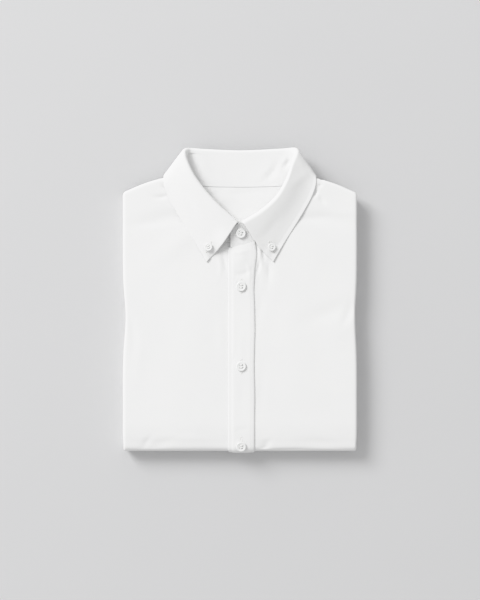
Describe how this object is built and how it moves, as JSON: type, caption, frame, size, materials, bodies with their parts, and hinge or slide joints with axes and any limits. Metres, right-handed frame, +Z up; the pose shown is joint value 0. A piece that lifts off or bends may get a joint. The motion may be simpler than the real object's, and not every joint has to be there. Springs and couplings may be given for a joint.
{
  "type": "folded pique shirt",
  "caption": "White long-sleeved pique shirt with a button-down collar, folded flat with the front up.",
  "frame": {"origin": "under the centre of the folded outline, on the surface that the shirt rests on", "axes": "+X to the wearer's left, +Y from the bottom fold towards the collar, +Z up out of the front of the shirt"},
  "size_m": [0.2702, 0.3547, 0.0342],
  "materials": {
    "pique_cotton": "matt white cotton pique",
    "stiffened_cotton": "matt white cotton pique, stiffened",
    "buttons": "white satin resin"
  },
  "bodies": {
    "root": {"folded_layers": "pique_cotton", "yoke": "pique_cotton", "front_right": "pique_cotton", "front_left": "pique_cotton", "placket": "stiffened_cotton", "collar_stand": "stiffened_cotton", "collar_leaf": "stiffened_cotton", "button_front_1": "buttons", "button_front_2": "buttons", "button_front_3": "buttons", "button_collar_stand": "buttons", "button_point_right": "buttons", "button_point_left": "buttons"}
  },
  "joints": []
}
